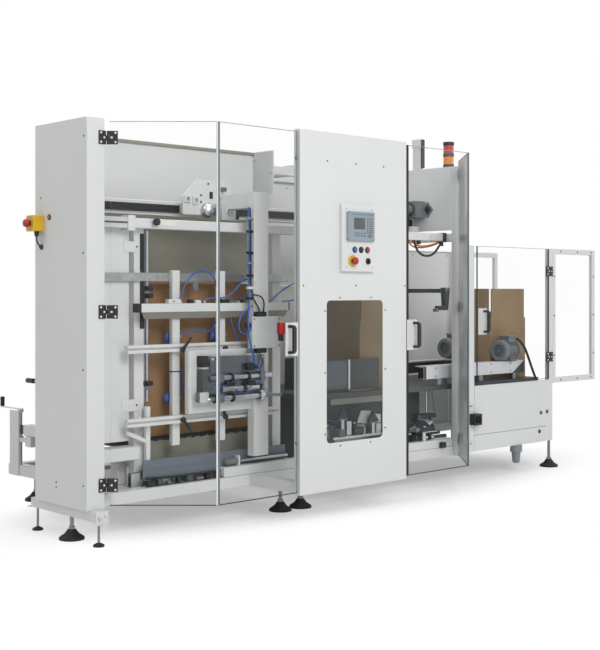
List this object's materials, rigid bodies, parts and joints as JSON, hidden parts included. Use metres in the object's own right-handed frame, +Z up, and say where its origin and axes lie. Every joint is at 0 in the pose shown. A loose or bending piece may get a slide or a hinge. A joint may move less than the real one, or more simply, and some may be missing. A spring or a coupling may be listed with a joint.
{
  "type": "case erector",
  "caption": "Case erector with a magazine of flat blanks, a sliding transfer head, bent clear guard doors, an operator panel and a guarded outfeed with side belts.",
  "frame": {"origin": "floor level at the middle of the machine's overall length and depth", "axes": "+X along the line towards the outfeed, +Y from the operator's side towards the magazine, +Z up"},
  "size_m": [4.3756, 1.844, 2.177],
  "materials": {
    "white_paint": "satin powder coat",
    "black_plastic": "fine grain",
    "rubber": "matt",
    "bright_steel": "brushed, zinc plated",
    "clear_sheet": "clear plastic sheet",
    "grey_plastic": "fine grain",
    "grey_paint": "satin",
    "dark_paint": "matt",
    "lamp_plastic": "gloss, coloured lenses",
    "yellow_plastic": "gloss",
    "red_plastic": "gloss",
    "galvanised": "galvanised",
    "alu_profile": "anodised",
    "blue_rubber": "matt",
    "board": "brown corrugated board"
  },
  "bodies": {
    "frame": {"base_rails": "white_paint", "base_crossmembers": "white_paint", "frame_posts": "white_paint", "top_rails": "white_paint", "top_crossmembers": "white_paint", "end_pillar": "white_paint", "front_panel": "white_paint", "control_plate": "white_paint", "inner_panels": "white_paint", "end_wall": "white_paint", "magazine_posts": "white_paint", "magazine_beams": "white_paint", "magazine_bearers": "white_paint", "bed_rail": "white_paint", "suction_beam": "white_paint", "belt_units": "white_paint", "outfeed_panels": "white_paint", "guard_frames": "white_paint", "push_buttons": "black_plastic", "clamp_levers": "black_plastic", "isolator_switch": "black_plastic", "hinge_leaves": "black_plastic", "transfer_rail": "black_plastic", "foot_pads": "rubber", "drive_belts": "rubber", "foot_studs": "bright_steel", "guide_rods": "bright_steel", "flap_folders": "bright_steel", "front_window": "clear_sheet", "guard_panes": "clear_sheet", "operator_terminal": "grey_plastic", "filter_bowl": "grey_plastic", "drive_motors": "grey_paint", "bed_plate": "dark_paint", "bed_box": "dark_paint", "side_guides": "dark_paint", "stack_light": "lamp_plastic", "stop_bases": "yellow_plastic", "stop_buttons": "red_plastic", "steel_channels": "galvanised", "slotted_rails": "alu_profile", "suction_bars": "alu_profile", "suction_cups": "blue_rubber", "case_blanks": "board", "opened_cases": "board"},
    "carriage": {"trolley": "white_paint", "carriage_column": "white_paint", "head_plate": "white_paint", "head_tooling": "bright_steel", "junction_box": "grey_plastic"},
    "left_door": {"left_door_pane": "clear_sheet", "left_door_plate": "white_paint", "left_door_fittings": "black_plastic"},
    "right_door": {"right_door_pane": "clear_sheet", "right_door_plate": "white_paint", "right_door_fittings": "black_plastic"},
    "outfeed_door": {"outfeed_door_pane": "clear_sheet", "outfeed_door_plate": "white_paint", "outfeed_door_fittings": "black_plastic"},
    "crank": {"magazine_crank": "black_plastic"}
  },
  "joints": [
    {"name": "left_door_hinge", "type": "hinge", "parent": "frame", "child": "left_door", "pos_m": [-1.97975, -0.501, 1.1], "axis": [0, 0, -1], "range_deg": [0, 100]},
    {"name": "right_door_hinge", "type": "hinge", "parent": "frame", "child": "right_door", "pos_m": [0.63025, -0.501, 1.1], "axis": [0, 0, 1], "range_deg": [0, 100]},
    {"name": "outfeed_door_hinge", "type": "hinge", "parent": "frame", "child": "outfeed_door", "pos_m": [1.62475, -0.485, 1.042], "axis": [0, 0, 1], "range_deg": [0, 100]},
    {"name": "transfer_slide", "type": "slide", "parent": "frame", "child": "carriage", "axis": [1, 0, 0], "range_m": [0, 0.9]},
    {"name": "magazine_crank_turn", "type": "hinge", "parent": "frame", "child": "crank", "pos_m": [-1.74175, 0.709, 0.53], "axis": [0, 0, 1], "continuous": true}
  ]
}
